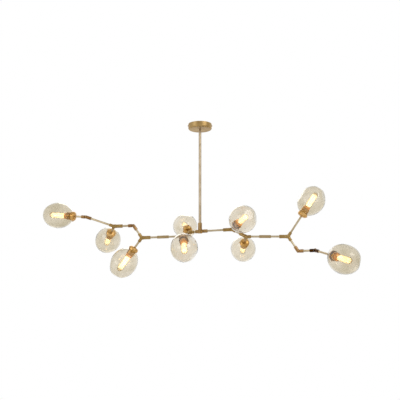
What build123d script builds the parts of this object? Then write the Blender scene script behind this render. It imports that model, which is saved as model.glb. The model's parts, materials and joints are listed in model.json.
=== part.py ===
from build123d import *
from math import acos, cos, degrees, radians, sin, sqrt
import os

# Branching bubble chandelier. Millimetres, +Z up, +X to the right of the front view.
# The origin is the middle of the ceiling face of the mounting bar.

# Ceiling canopy and the mounting bar inside it
canopy_diameter = 120.0
canopy_height = 28.0
canopy_wall = 1.5
canopy_edge_round = 7.0
canopy_hole_clearance = 0.4
bar_width = 22.0
bar_thickness = 2.5
bar_tab_drop = 14.0
bar_end_gap = 0.3
slot_spacing = 70.0
slot_length = 12.0
slot_width = 5.5
canopy_screw_diameter = 4.0
canopy_screw_head_diameter = 8.0
canopy_screw_head_height = 2.5
canopy_screw_depth = 8.5
canopy_screw_inside = 3.0
screw_clearance = 0.05
terminal_length = 18.0
terminal_width = 16.0
terminal_height = 12.0
terminal_reach = 18.0
terminal_pitch = 5.5
terminal_wire_hole = 3.2
terminal_screw_hole = 3.6
terminal_screw_hole_depth = 5.0

# Swivel stud, lock nut and drop rod
stud_diameter = 8.0
stud_wire_bore = 4.5
stud_exposed = 14.0
stud_head_height = 5.0
stud_head_clearance = 0.2
stud_running_gap = 0.1
locknut_across_flats = 13.0
locknut_height = 5.0
rod_diameter = 14.0
rod_wall = 1.5
rod_lip = 4.0
rod_length = 484.0

# Arm tubes, their sockets and the running fits
tube_diameter = 10.0
tube_wall = 1.25
socket_clearance = 0.05
socket_depth = 14.0
wire_bore = 5.0
wire_pocket_margin = 1.0
core_margin = 0.8
edge_chamfer = 0.8

# Hub under the rod
hub_collar_wall = 3.0
hub_collar_length = 42.0
hub_rod_socket = 20.0
hub_side_wall = 3.5
hub_right_length = 38.0
hub_left_length = 24.0

# Three-way yokes
main_collar_wall = 3.5
main_collar_length = 42.0
link_collar_length = 38.0
short_collar_wall = 2.5
short_collar_length = 24.0
head_collar_length = 24.0
head_socket_depth = 12.0

# Bar couplings, in which the branches twist
coupling_length = 56.0
coupling_wall = 2.2
coupling_end_gap = 0.3
right_coupling_reach = 91.0
left_coupling_reach = 100.0
grub_diameter = 3.0
grub_inset = 14.0
groove_width = 3.6
groove_depth = 0.6
groove_clearance = 0.2

# Swivel knuckles at the elbows and tips
knuckle_wall = 3.0
knuckle_length = 26.0
tongue_thickness = 6.0
tongue_side_gap = 0.15
knuckle_root_gap = 0.6
knuckle_eye_inset = 1.0
knuckle_flat_wall = 3.4
pivot_diameter = 5.0
pivot_clearance = 0.05
pivot_head_diameter = 8.0
pivot_head_height = 2.6
pivot_slot_width = 1.2
pivot_slot_depth = 1.0

# Right arm, hub outwards: length, turn about Z from +X, rise above level
right_inner_length = 157.0
right_inner_turn = -6.0
right_inner_rise = 3.0
right_link_length = 92.0
right_link_turn = -39.0
right_link_rise = -24.0
right_bar_length = 201.0
right_bar_turn = -2.0
right_bar_rise = 0.0
right_upper_length = 123.0
right_upper_turn = -2.0
right_upper_rise = 56.0
right_lower_length = 83.0
right_lower_turn = -18.0
right_lower_rise = -57.0
right_outer_length = 83.0
right_outer_turn = -32.0
right_outer_rise = 2.0
right_tip_length = 138.0
right_tip_turn = -73.0
right_tip_rise = -10.0

# Left arm, hub outwards
left_inner_length = 54.0
left_inner_turn = 175.0
left_inner_rise = -6.0
left_link_length = 73.0
left_link_turn = -112.0
left_link_rise = -17.0
left_bar_length = 203.0
left_bar_turn = 177.0
left_bar_rise = -2.0
left_lower_length = 63.0
left_lower_turn = 180.0
left_lower_rise = -55.0
left_upper_length = 72.0
left_upper_turn = -179.0
left_upper_rise = 55.0
left_outer_length = 95.0
left_outer_turn = 180.0
left_outer_rise = -2.0
left_reach_length = 154.0
left_reach_turn = 168.0
left_reach_rise = 18.0
left_tip_length = 64.0
left_tip_turn = 172.0
left_tip_rise = 4.0

# Heads that stand on a yoke, each on a stalk of its own
head_2_length = 66.0
head_2_turn = 113.0
head_2_rise = -25.0
head_4_length = 40.0
head_4_turn = 102.0
head_4_rise = 19.0
head_5_length = 34.0
head_5_turn = -86.0
head_5_rise = -29.0
head_6_length = 66.0
head_6_turn = -73.0
head_6_rise = 15.0
head_7_length = 74.0
head_7_turn = 90.0
head_7_rise = -21.0

# Lamp: bulb, lampholder, cup and glass shade, from the inside out
bulb_cap_diameter = 26.0
bulb_cap_length = 28.0
bulb_diameter = 28.0
bulb_length = 82.0
bulb_shoulder = 4.0
bulb_wall = 1.0
bulb_vent = 4.0
lampholder_clearance = 0.3
lampholder_wall = 3.8
lampholder_floor = 17.5
lampholder_rim_wall = 2.2
lampholder_rim_length = 10.0
lampholder_seat_gap = 0.3
sleeve_wall = 1.2
sleeve_length = 33.5
sleeve_gap = 0.5
shade_wall = 2.0
neck_gap = 0.3
neck_reveal = 1.2
skirt_wall = 1.6
skirt_depth = 8.5
cup_plate = 2.5
boss_wall = 1.5
boss_length = 8.0
boss_socket = 6.0
boss_step = 1.2
thumb_screw_diameter = 3.0
thumb_screw_head_diameter = 6.0
thumb_screw_head_height = 3.0
thumb_screw_gap = 0.2
thumb_screw_count = 3

# Glass shade: a hand-blown egg, pressed flat in five places and at its far end
shade_radius = 64.0
shade_half_length = 76.0
flat_depth = 6.0
flat_turns = (0, 72, 150, 222, 296, 30)
flat_tilts = (8, 34, -12, 30, -4, 86)
shade_spins = {
    "1": 20,
    "2": 75,
    "3": 140,
    "4": 10,
    "5": 200,
    "6": 100,
    "7": 40,
    "8": 250,
    "9": 310,
}

os.makedirs("parts", exist_ok=True)

tube_radius = tube_diameter / 2
socket_radius = tube_radius + socket_clearance
main_collar_radius = tube_radius + main_collar_wall
short_collar_radius = tube_radius + short_collar_wall
knuckle_radius = tube_radius + knuckle_wall
rod_radius = rod_diameter / 2
hub_collar_radius = rod_radius + hub_collar_wall
hub_side_radius = tube_radius + hub_side_wall
coupling_radius = tube_radius + socket_clearance + coupling_wall

lampholder_bore = bulb_cap_diameter / 2 + lampholder_clearance
lampholder_radius = lampholder_bore + lampholder_wall
sleeve_inner = lampholder_radius + lampholder_seat_gap
sleeve_radius = sleeve_inner + sleeve_wall
neck_inner = sleeve_radius + sleeve_gap
neck_radius = neck_inner + shade_wall
skirt_inner = neck_radius + neck_gap
cup_radius = skirt_inner + skirt_wall
boss_radius = tube_radius + boss_wall
skirt_end = cup_plate + skirt_depth
neck_end = skirt_end + neck_reveal
shade_centre = neck_end + shade_half_length * sqrt(1 - (neck_radius / shade_radius) ** 2)
head_seat = boss_length - boss_socket
knuckle_seat = knuckle_length - socket_depth


def heading(turn, rise):
    """Direction turned about Z from +X and lifted above level, in degrees."""
    return Vector(1, 0, 0).rotate(Axis.Y, -rise).rotate(Axis.Z, turn)


def save(piece, name):
    """Label a finished piece and write its file."""
    piece.part.label = name
    export_step(piece.part, f"parts/{name}.step")


# Layout: every joint's place follows from the arm before it
hub_seat = hub_collar_length - hub_rod_socket
rod_top = -(canopy_height + stud_exposed)
hub_point = Vector(0, 0, rod_top - rod_length - hub_seat)

right_inner_way = heading(right_inner_turn, right_inner_rise)
right_link_way = heading(right_link_turn, right_link_rise)
right_bar_way = heading(right_bar_turn, right_bar_rise)
right_upper_way = heading(right_upper_turn, right_upper_rise)
right_lower_way = heading(right_lower_turn, right_lower_rise)
right_outer_way = heading(right_outer_turn, right_outer_rise)
right_tip_way = heading(right_tip_turn, right_tip_rise)
right_near = hub_point + right_inner_way * right_inner_length
right_far = right_near + right_link_way * right_link_length
right_split = right_far + right_bar_way * right_bar_length
right_elbow = right_split + right_lower_way * right_lower_length
right_knuckle = right_elbow + right_outer_way * right_outer_length
right_coupling = right_far + right_bar_way * right_coupling_reach
right_elbow_axis = right_lower_way.cross(right_outer_way).normalized()
right_tip_axis = right_outer_way.cross(right_tip_way).normalized()

left_inner_way = heading(left_inner_turn, left_inner_rise)
left_link_way = heading(left_link_turn, left_link_rise)
left_bar_way = heading(left_bar_turn, left_bar_rise)
left_lower_way = heading(left_lower_turn, left_lower_rise)
left_upper_way = heading(left_upper_turn, left_upper_rise)
left_outer_way = heading(left_outer_turn, left_outer_rise)
left_reach_way = heading(left_reach_turn, left_reach_rise)
left_tip_way = heading(left_tip_turn, left_tip_rise)
left_near = hub_point + left_inner_way * left_inner_length
left_far = left_near + left_link_way * left_link_length
left_split = left_far + left_bar_way * left_bar_length
left_elbow = left_split + left_upper_way * left_upper_length
left_side = left_elbow + left_outer_way * left_outer_length
left_knuckle = left_side + left_reach_way * left_reach_length
left_coupling = left_far + left_bar_way * left_coupling_reach
left_elbow_axis = left_upper_way.cross(left_outer_way).normalized()
left_tip_axis = left_reach_way.cross(left_tip_way).normalized()

# Each head: the point at the back of its cup and the way it faces
head_2_way = heading(head_2_turn, head_2_rise)
head_4_way = heading(head_4_turn, head_4_rise)
head_5_way = heading(head_5_turn, head_5_rise)
head_6_way = heading(head_6_turn, head_6_rise)
head_7_way = heading(head_7_turn, head_7_rise)
head_places = {
    "1": (left_knuckle + left_tip_way * left_tip_length, left_tip_way),
    "2": (left_side + head_2_way * head_2_length, head_2_way),
    "3": (left_split + left_lower_way * left_lower_length, left_lower_way),
    "4": (left_near + head_4_way * head_4_length, head_4_way),
    "5": (left_far + head_5_way * head_5_length, head_5_way),
    "6": (right_near + head_6_way * head_6_length, head_6_way),
    "7": (right_far + head_7_way * head_7_length, head_7_way),
    "8": (right_split + right_upper_way * right_upper_length, right_upper_way),
    "9": (right_knuckle + right_tip_way * right_tip_length, right_tip_way),
}
head_planes = {}
for number, (base, way) in head_places.items():
    across = Plane(origin=base, z_dir=way).x_dir
    across = across.rotate(Axis((0, 0, 0), way), shade_spins[number])
    head_planes[number] = Plane(origin=base, x_dir=across, z_dir=way)


# Canopy: a drawn cup with its open side against the ceiling
stud_radius = stud_diameter / 2
canopy_radius = canopy_diameter / 2
canopy_inner = canopy_radius - canopy_wall
canopy_screw_hole = canopy_screw_diameter / 2 + screw_clearance
with BuildPart() as canopy:
    with BuildSketch():
        Circle(canopy_radius)
    extrude(amount=-canopy_height)
    fillet(canopy.edges().group_by(Axis.Z)[0], canopy_edge_round)
    offset(amount=-canopy_wall, openings=canopy.faces().sort_by(Axis.Z)[-1])
    with BuildSketch(Plane.XY.offset(-canopy_height)):
        Circle(stud_radius + canopy_hole_clearance)
    extrude(amount=canopy_wall, mode=Mode.SUBTRACT)
    with BuildSketch(Plane.YZ):
        with Locations((0, -canopy_screw_depth)):
            Circle(canopy_screw_hole)
    extrude(amount=canopy_radius, both=True, mode=Mode.SUBTRACT)
save(canopy, "canopy")

# Mounting bar: a strip with slots for the ceiling bolts and turned-down ends
bar_half = sqrt(canopy_inner**2 - (bar_width / 2) ** 2) - bar_end_gap
with BuildPart() as mounting_bar:
    with BuildSketch(Plane.XZ):
        with BuildLine():
            Polyline(
                (-bar_half, -bar_tab_drop),
                (-bar_half, 0),
                (bar_half, 0),
                (bar_half, -bar_tab_drop),
                (bar_half - bar_thickness, -bar_tab_drop),
                (bar_half - bar_thickness, -bar_thickness),
                (bar_thickness - bar_half, -bar_thickness),
                (bar_thickness - bar_half, -bar_tab_drop),
                close=True,
            )
        make_face()
    extrude(amount=bar_width / 2, both=True)
    with BuildSketch():
        Circle(stud_radius + screw_clearance)
        with Locations((-slot_spacing / 2, 0), (slot_spacing / 2, 0)):
            SlotOverall(slot_length, slot_width)
    extrude(amount=-bar_thickness, mode=Mode.SUBTRACT)
    with BuildSketch(Plane.YZ):
        with Locations((0, -canopy_screw_depth)):
            Circle(canopy_screw_hole)
    extrude(amount=bar_half, both=True, mode=Mode.SUBTRACT)
save(mounting_bar, "mounting_bar")

# Two side screws hold the canopy to the turned-down ends
canopy_screw_length = canopy_radius - bar_half + bar_thickness + canopy_screw_inside
with BuildPart() as canopy_screws:
    for side in (-1, 1):
        with BuildSketch(Plane((side * canopy_radius, 0, -canopy_screw_depth), z_dir=(side, 0, 0))):
            Circle(canopy_screw_head_diameter / 2)
        extrude(amount=canopy_screw_head_height)
        with BuildSketch(Plane((side * canopy_radius, 0, -canopy_screw_depth), z_dir=(-side, 0, 0))):
            Circle(canopy_screw_diameter / 2)
        extrude(amount=canopy_screw_length)
    outer_rims = canopy_screws.edges().filter_by(GeomType.CIRCLE).group_by(Edge.length.fget)[-1]
    chamfer(outer_rims.sort_by(Axis.X)[0], edge_chamfer)
    chamfer(outer_rims.sort_by(Axis.X)[-1], edge_chamfer)
save(canopy_screws, "canopy_screws")

# Terminal block under the mounting bar, three poles
with BuildPart() as terminal_block:
    with BuildSketch(Plane.XY.offset(-bar_thickness)):
        with Locations((-terminal_reach, 0)):
            Rectangle(terminal_length, terminal_width)
    extrude(amount=-terminal_height)
    with BuildSketch(Plane.XZ):
        with Locations((-terminal_reach, -bar_thickness - terminal_height / 2)):
            with GridLocations(terminal_pitch, 0, 3, 1):
                Circle(terminal_wire_hole / 2)
    extrude(amount=terminal_width, both=True, mode=Mode.SUBTRACT)
    with BuildSketch(Plane.XY.offset(-bar_thickness - terminal_height)):
        with Locations((-terminal_reach, 0)):
            with GridLocations(terminal_pitch, terminal_width / 2, 3, 2):
                Circle(terminal_screw_hole / 2)
    extrude(amount=terminal_screw_hole_depth, mode=Mode.SUBTRACT)
save(terminal_block, "terminal_block")

# Swivel stud: screwed into the mounting bar, with a head that carries the rod's lip
rod_inner = rod_radius - rod_wall
stud_head_top = rod_top - rod_lip - stud_running_gap
with BuildPart() as swivel_stud:
    with BuildSketch():
        Circle(stud_radius)
    extrude(amount=stud_head_top)
    with BuildSketch(Plane.XY.offset(stud_head_top)):
        Circle(rod_inner - stud_head_clearance)
    extrude(amount=-stud_head_height)
    with BuildSketch():
        Circle(stud_wire_bore / 2)
    extrude(amount=stud_head_top - stud_head_height, mode=Mode.SUBTRACT)
save(swivel_stud, "swivel_stud")

with BuildPart() as stud_locknut:
    with BuildSketch(Plane.XY.offset(-bar_thickness)):
        RegularPolygon(locknut_across_flats / 2, 6, major_radius=False)
        Circle(stud_radius + screw_clearance, mode=Mode.SUBTRACT)
    extrude(amount=-locknut_height)
save(stud_locknut, "stud_locknut")

# Drop rod: a tube with an inward lip at its top
with BuildPart() as drop_rod:
    with BuildSketch(Plane.XY.offset(rod_top)):
        Circle(rod_radius)
    extrude(amount=-rod_length)
    with BuildSketch(Plane.XY.offset(rod_top)):
        Circle(stud_radius + socket_clearance)
    extrude(amount=-rod_length, mode=Mode.SUBTRACT)
    with BuildSketch(Plane.XY.offset(rod_top - rod_lip)):
        Circle(rod_inner)
    extrude(amount=rod_lip - rod_length, mode=Mode.SUBTRACT)
save(drop_rod, "drop_rod")

def yoke(ports, core_radius):
    """A yoke about the origin: a drum in line with its first port and a bored collar to each port."""
    first_way, first_radius, first_length, first_bore, first_depth = ports[0]
    pocket_radius = wire_bore / 2 + wire_pocket_margin
    with BuildPart() as body:
        with BuildSketch(Plane(first_way * -core_radius, z_dir=first_way)):
            Circle(core_radius)
        extrude(amount=2 * core_radius)
        chamfer(body.edges().filter_by(GeomType.CIRCLE), edge_chamfer)
        for way, radius, length, bore, depth in ports:
            with BuildSketch(Plane((0, 0, 0), z_dir=way)):
                Circle(radius)
            extrude(amount=length)
        for way, radius, length, bore, depth in ports:
            chamfer(body.edges().filter_by(GeomType.CIRCLE).sort_by_distance(way * length)[0], edge_chamfer)
        for way, radius, length, bore, depth in ports:
            with BuildSketch(Plane(way * length, z_dir=-way)):
                Circle(bore)
            extrude(amount=depth, mode=Mode.SUBTRACT)
        with BuildSketch(Plane(first_way * -pocket_radius, z_dir=first_way)):
            Circle(pocket_radius)
        extrude(amount=pocket_radius + first_length, mode=Mode.SUBTRACT)
        for way, radius, length, bore, depth in ports[1:]:
            with BuildSketch(Plane((0, 0, 0), z_dir=way)):
                Circle(wire_bore / 2)
            extrude(amount=length, mode=Mode.SUBTRACT)
    return body.part


def save_yokes(name, core_radius, yokes):
    """Yokes of one node, each built about the origin and set at its centre."""
    bodies = [(centre, yoke(ports, core_radius)) for centre, ports in yokes]
    with BuildPart() as yoke_group:
        for centre, body in bodies:
            with Locations(centre):
                add(body)
    save(yoke_group, name)


def main_port(way):
    return way, main_collar_radius, main_collar_length, socket_radius, socket_depth


def link_port(way):
    return way, main_collar_radius, link_collar_length, socket_radius, socket_depth


def short_port(way):
    return way, short_collar_radius, short_collar_length, socket_radius, socket_depth


def head_port(way):
    return way, short_collar_radius, head_collar_length, socket_radius, head_socket_depth


# Hub: the rod's socket above, one tube socket to each side
hub_ports = [
    (Vector(0, 0, 1), hub_collar_radius, hub_collar_length, rod_radius + socket_clearance, hub_rod_socket),
    (right_inner_way, hub_side_radius, hub_right_length, socket_radius, socket_depth),
    (left_inner_way, hub_side_radius, hub_left_length, socket_radius, socket_depth),
]
save_yokes("hub", hub_collar_radius + core_margin, [(hub_point, hub_ports)])

# Three-way yokes along the arms
main_seat = main_collar_length - socket_depth
link_seat = link_collar_length - socket_depth
short_seat = short_collar_length - socket_depth
stalk_seat = head_collar_length - head_socket_depth
yoke_core = main_collar_radius + core_margin

right_near_ports = [main_port(-right_inner_way), short_port(right_link_way), head_port(head_6_way)]
right_far_ports = [link_port(-right_link_way), short_port(right_bar_way), head_port(head_7_way)]
left_near_ports = [short_port(-left_inner_way), short_port(left_link_way), head_port(head_4_way)]
left_far_ports = [short_port(-left_link_way), short_port(left_bar_way), head_port(head_5_way)]
right_split_ports = [main_port(-right_bar_way), short_port(right_upper_way), short_port(right_lower_way)]
left_split_ports = [main_port(-left_bar_way), short_port(left_lower_way), short_port(left_upper_way)]
left_side_ports = [main_port(-left_outer_way), short_port(left_reach_way), head_port(head_2_way)]
save_yokes("right_inner_yokes", yoke_core, [(right_near, right_near_ports), (right_far, right_far_ports)])
save_yokes("left_inner_yokes", yoke_core, [(left_near, left_near_ports), (left_far, left_far_ports)])
save_yokes("right_yoke", yoke_core, [(right_split, right_split_ports)])
save_yokes("left_yoke", yoke_core, [(left_split, left_split_ports)])
save_yokes("left_arm_yoke", yoke_core, [(left_side, left_side_ports)])


def save_tubes(name, runs):
    """Straight tubes of one node, each along its way, grooved where it turns in a coupling."""
    with BuildPart() as tubes:
        for start, way, length, grooved in runs:
            with BuildSketch(Plane(start, z_dir=way)):
                Circle(tube_radius)
                Circle(tube_radius - tube_wall, mode=Mode.SUBTRACT)
            extrude(amount=length)
            if grooved:
                groove_start = grub_inset - groove_width / 2
                with BuildSketch(Plane(start + way * groove_start, z_dir=way)):
                    Circle(tube_radius)
                    Circle(tube_radius - groove_depth, mode=Mode.SUBTRACT)
                extrude(amount=groove_width, mode=Mode.SUBTRACT)
    save(tubes, name)


def run(start, way, length, start_seat, end_seat):
    """A tube between two seats of an arm."""
    return start + way * start_seat, way, length - start_seat - end_seat, False


def turning_run(coupling, way, length):
    """A branch's bar, from its coupling to the seat in the yoke, free to turn in the coupling."""
    return coupling + way * (coupling_end_gap / 2), way, length - coupling_end_gap / 2 - main_seat, True


right_hub_seat = hub_right_length - socket_depth
left_hub_seat = hub_left_length - socket_depth
save_tubes(
    "inner_arm_tubes",
    [
        run(hub_point, right_inner_way, right_inner_length, right_hub_seat, main_seat),
        run(right_near, right_link_way, right_link_length, short_seat, link_seat),
        run(right_far, right_bar_way, right_coupling_reach, short_seat, coupling_end_gap / 2),
        run(right_near, head_6_way, head_6_length, stalk_seat, head_seat),
        run(right_far, head_7_way, head_7_length, stalk_seat, head_seat),
        run(hub_point, left_inner_way, left_inner_length, left_hub_seat, short_seat),
        run(left_near, left_link_way, left_link_length, short_seat, short_seat),
        run(left_far, left_bar_way, left_coupling_reach, short_seat, coupling_end_gap / 2),
        run(left_near, head_4_way, head_4_length, stalk_seat, head_seat),
        run(left_far, head_5_way, head_5_length, stalk_seat, head_seat),
    ],
)
save_tubes(
    "right_branch_tubes",
    [
        turning_run(right_coupling, right_bar_way, right_bar_length - right_coupling_reach),
        run(right_split, right_upper_way, right_upper_length, short_seat, head_seat),
        run(right_split, right_lower_way, right_lower_length, short_seat, knuckle_seat),
    ],
)
save_tubes(
    "right_arm_tube",
    [run(right_elbow, right_outer_way, right_outer_length, knuckle_seat, knuckle_seat)],
)
save_tubes("right_tip_tube", [run(right_knuckle, right_tip_way, right_tip_length, knuckle_seat, head_seat)])
save_tubes(
    "left_branch_tubes",
    [
        turning_run(left_coupling, left_bar_way, left_bar_length - left_coupling_reach),
        run(left_split, left_lower_way, left_lower_length, short_seat, head_seat),
        run(left_split, left_upper_way, left_upper_length, short_seat, knuckle_seat),
    ],
)
save_tubes(
    "left_arm_tubes",
    [
        run(left_elbow, left_outer_way, left_outer_length, knuckle_seat, main_seat),
        run(left_side, left_reach_way, left_reach_length, short_seat, knuckle_seat),
        run(left_side, head_2_way, head_2_length, stalk_seat, head_seat),
    ],
)
save_tubes("left_tip_tube", [run(left_knuckle, left_tip_way, left_tip_length, knuckle_seat, head_seat)])

# Bar couplings: a sleeve on each bar, with a grub screw that clamps the inner tube
# and another that runs in the outer tube's groove
clamp_reach = tube_radius + socket_clearance
groove_reach = tube_radius - groove_depth + groove_clearance
with BuildPart() as bar_couplings:
    for middle, way in ((right_coupling, right_bar_way), (left_coupling, left_bar_way)):
        with BuildSketch(Plane(middle, z_dir=way)):
            Circle(coupling_radius)
        extrude(amount=coupling_length / 2, both=True)
        for end in (-1, 1):
            tip = middle + way * (end * coupling_length / 2)
            rim = bar_couplings.edges().filter_by(GeomType.CIRCLE).sort_by_distance(tip)[0]
            chamfer(rim, edge_chamfer)
        with BuildSketch(Plane(middle, z_dir=way)):
            Circle(tube_radius + socket_clearance)
        extrude(amount=coupling_length / 2, both=True, mode=Mode.SUBTRACT)
        out = way.cross(Vector(0, 1, 0)).normalized()
        grub_ends = ((-1, clamp_reach), (1, groove_reach))
        for end, reach in grub_ends:
            place = middle + way * (end * (grub_inset + coupling_end_gap / 2))
            with BuildSketch(Plane(place, z_dir=out)):
                Circle(grub_diameter / 2 + screw_clearance)
            extrude(amount=coupling_radius, mode=Mode.SUBTRACT)
            with BuildSketch(Plane(place + out * reach, z_dir=out)):
                Circle(grub_diameter / 2)
            extrude(amount=coupling_radius - reach)
save(bar_couplings, "bar_couplings")

# Swivel knuckles: a slotted fork, a tongue that turns in it and a pivot screw with its nut
knuckle_flat = tongue_thickness / 2 + tongue_side_gap + knuckle_flat_wall
knuckle_root = knuckle_radius + knuckle_root_gap
eye_radius = knuckle_radius - knuckle_eye_inset
pivot_radius = pivot_diameter / 2


def save_knuckle_half(name, pivot, away, axis, forked):
    """One half of a swivel, turned from round bar: its collar lies away from the pivot."""
    side = Plane(origin=pivot, x_dir=away, z_dir=axis)
    slot_half = tongue_thickness / 2 + tongue_side_gap
    with BuildPart() as half:
        with BuildSketch(Plane(pivot - away * knuckle_radius, z_dir=away)):
            Circle(knuckle_radius)
        extrude(amount=knuckle_radius + knuckle_length)
        rim = half.edges().filter_by(GeomType.CIRCLE).sort_by_distance(pivot + away * knuckle_length)[0]
        chamfer(rim, edge_chamfer)
        with BuildSketch(side):
            Circle(eye_radius)
            Rectangle(knuckle_root, 2 * eye_radius, align=(Align.MIN, Align.CENTER))
            with Locations((knuckle_root, 0)):
                Rectangle(knuckle_length, 4 * knuckle_radius, align=(Align.MIN, Align.CENTER))
        extrude(amount=2 * knuckle_radius, both=True, mode=Mode.INTERSECT)
        if forked:
            cuts = (
                (-slot_half, 2 * slot_half),
                (knuckle_flat, knuckle_radius),
                (-knuckle_flat, -knuckle_radius),
            )
        else:
            cuts = ((tongue_thickness / 2, knuckle_radius), (-tongue_thickness / 2, -knuckle_radius))
        for height, thickness in cuts:
            with BuildSketch(side.offset(height)):
                with Locations((-knuckle_radius, 0)):
                    Rectangle(
                        knuckle_radius + knuckle_root, 4 * knuckle_radius, align=(Align.MIN, Align.CENTER)
                    )
            extrude(amount=thickness, mode=Mode.SUBTRACT)
        with BuildSketch(side):
            Circle(pivot_radius + pivot_clearance)
        extrude(amount=knuckle_radius, both=True, mode=Mode.SUBTRACT)
        with BuildSketch(Plane(pivot + away * knuckle_length, z_dir=-away)):
            Circle(socket_radius)
        extrude(amount=socket_depth, mode=Mode.SUBTRACT)
    save(half, name)


def save_pivot(name, pivot, away, axis):
    """Pivot screw with a slotted head on one ear and a cap nut on the other."""
    face = Plane(origin=pivot, x_dir=away, z_dir=axis)
    with BuildPart() as screw:
        with BuildSketch(face.offset(knuckle_flat)):
            Circle(pivot_head_diameter / 2)
        extrude(amount=pivot_head_height)
        chamfer(screw.edges().sort_by(Axis(pivot, axis))[-1], edge_chamfer)
        with BuildSketch(face.offset(knuckle_flat + pivot_head_height)):
            Rectangle(pivot_head_diameter, pivot_slot_width)
        extrude(amount=-pivot_slot_depth, mode=Mode.SUBTRACT)
        with BuildSketch(face.offset(knuckle_flat)):
            Circle(pivot_radius)
        extrude(amount=-2 * knuckle_flat)
        with BuildSketch(face.offset(-knuckle_flat - screw_clearance)):
            RegularPolygon(pivot_head_diameter / 2, 6)
        extrude(amount=-pivot_head_height)
    save(screw, name)


knuckles = {
    "right_elbow": (right_elbow, right_lower_way, right_outer_way, right_elbow_axis),
    "right_tip": (right_knuckle, right_outer_way, right_tip_way, right_tip_axis),
    "left_elbow": (left_elbow, left_upper_way, left_outer_way, left_elbow_axis),
    "left_tip": (left_knuckle, left_reach_way, left_tip_way, left_tip_axis),
}
for name, (pivot, way_in, way_out, axis) in knuckles.items():
    save_knuckle_half(f"{name}_fork", pivot, -way_in, axis, True)
    save_knuckle_half(f"{name}_tongue", pivot, way_out, axis, False)
    save_pivot(f"{name}_screw", pivot, -way_in, axis)

# Cup: a domed back with a tube socket, a skirt round the glass neck and a sleeve inside it
boss_end = -boss_length
dome_end = boss_end + boss_step
with BuildPart() as cup_blank:
    with BuildSketch(Plane.XZ):
        with BuildLine():
            dome = EllipticalCenterArc(
                (boss_radius, cup_plate), cup_radius - boss_radius, cup_plate - dome_end, -90, arc_size=90
            )
            Polyline(
                dome @ 1,
                (cup_radius, skirt_end),
                (skirt_inner, skirt_end),
                (skirt_inner, cup_plate),
                (sleeve_radius, cup_plate),
                (sleeve_radius, cup_plate + sleeve_length),
                (sleeve_inner, cup_plate + sleeve_length),
                (sleeve_inner, cup_plate),
                (wire_bore / 2, cup_plate),
                (wire_bore / 2, -head_seat),
                (socket_radius, -head_seat),
                (socket_radius, boss_end),
                (boss_radius, boss_end),
                dome @ 0,
            )
        make_face()
    revolve(axis=Axis.Z)
    for turn in range(thumb_screw_count):
        out = heading(turn * 360 / thumb_screw_count, 0)
        middle = Vector(0, 0, cup_plate + skirt_depth / 2)
        with BuildSketch(Plane(middle + out * neck_radius, z_dir=out)):
            Circle(thumb_screw_diameter / 2 + screw_clearance)
        extrude(amount=cup_radius - neck_radius + thumb_screw_gap, mode=Mode.SUBTRACT)
        with BuildSketch(Plane(middle + out * (neck_radius + screw_clearance), z_dir=out)):
            Circle(thumb_screw_diameter / 2)
        extrude(amount=cup_radius + thumb_screw_gap - neck_radius - screw_clearance)
        with BuildSketch(Plane(middle + out * (cup_radius + thumb_screw_gap), z_dir=out)):
            Circle(thumb_screw_head_diameter / 2)
        extrude(amount=thumb_screw_head_height)

# Lampholder: stands on the cup's floor, bored for the bulb's cap
bulb_seat = cup_plate + lampholder_floor
cap_end = bulb_seat + bulb_cap_length
rim_radius = lampholder_bore + lampholder_rim_wall
with BuildPart() as lampholder_blank:
    with BuildSketch(Plane.XZ):
        with BuildLine():
            Polyline(
                (wire_bore / 2, cup_plate),
                (lampholder_radius, cup_plate),
                (lampholder_radius, cap_end - lampholder_rim_length),
                (rim_radius, cap_end - lampholder_rim_length),
                (rim_radius, cap_end),
                (lampholder_bore, cap_end),
                (lampholder_bore, bulb_seat),
                (wire_bore / 2, bulb_seat),
                close=True,
            )
        make_face()
    revolve(axis=Axis.Z)

# Bulb: a tubular glass envelope on a screw cap
cap_radius = bulb_cap_diameter / 2
bulb_radius = bulb_diameter / 2
dome_centre = cap_end + bulb_length - bulb_radius
with BuildPart() as bulb_blank:
    with BuildSketch(Plane.XZ):
        with BuildLine():
            outer = CenterArc((0, dome_centre), bulb_radius, 0, 90)
            inner = CenterArc((0, dome_centre), bulb_radius - bulb_wall, 0, 90)
            Line(outer @ 1, inner @ 1)
            Polyline(
                outer @ 0,
                (bulb_radius, cap_end + bulb_shoulder),
                (cap_radius, cap_end),
                (cap_radius, bulb_seat),
                (bulb_vent / 2, bulb_seat),
                (bulb_vent / 2, bulb_seat + bulb_wall),
                (cap_radius - bulb_wall, bulb_seat + bulb_wall),
                (cap_radius - bulb_wall, cap_end),
                (bulb_radius - bulb_wall, cap_end + bulb_shoulder),
                inner @ 0,
            )
        make_face()
    revolve(axis=Axis.Z)



def pressed_plane(turn, tilt, depth):
    """The plane that presses the egg in by this depth, square to the given direction from its centre."""
    way = heading(turn, tilt)
    reach = sqrt((shade_radius * cos(radians(tilt))) ** 2 + (shade_half_length * sin(radians(tilt))) ** 2)
    return Plane(Vector(0, 0, shade_centre) + way * (reach - depth), z_dir=way)


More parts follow.
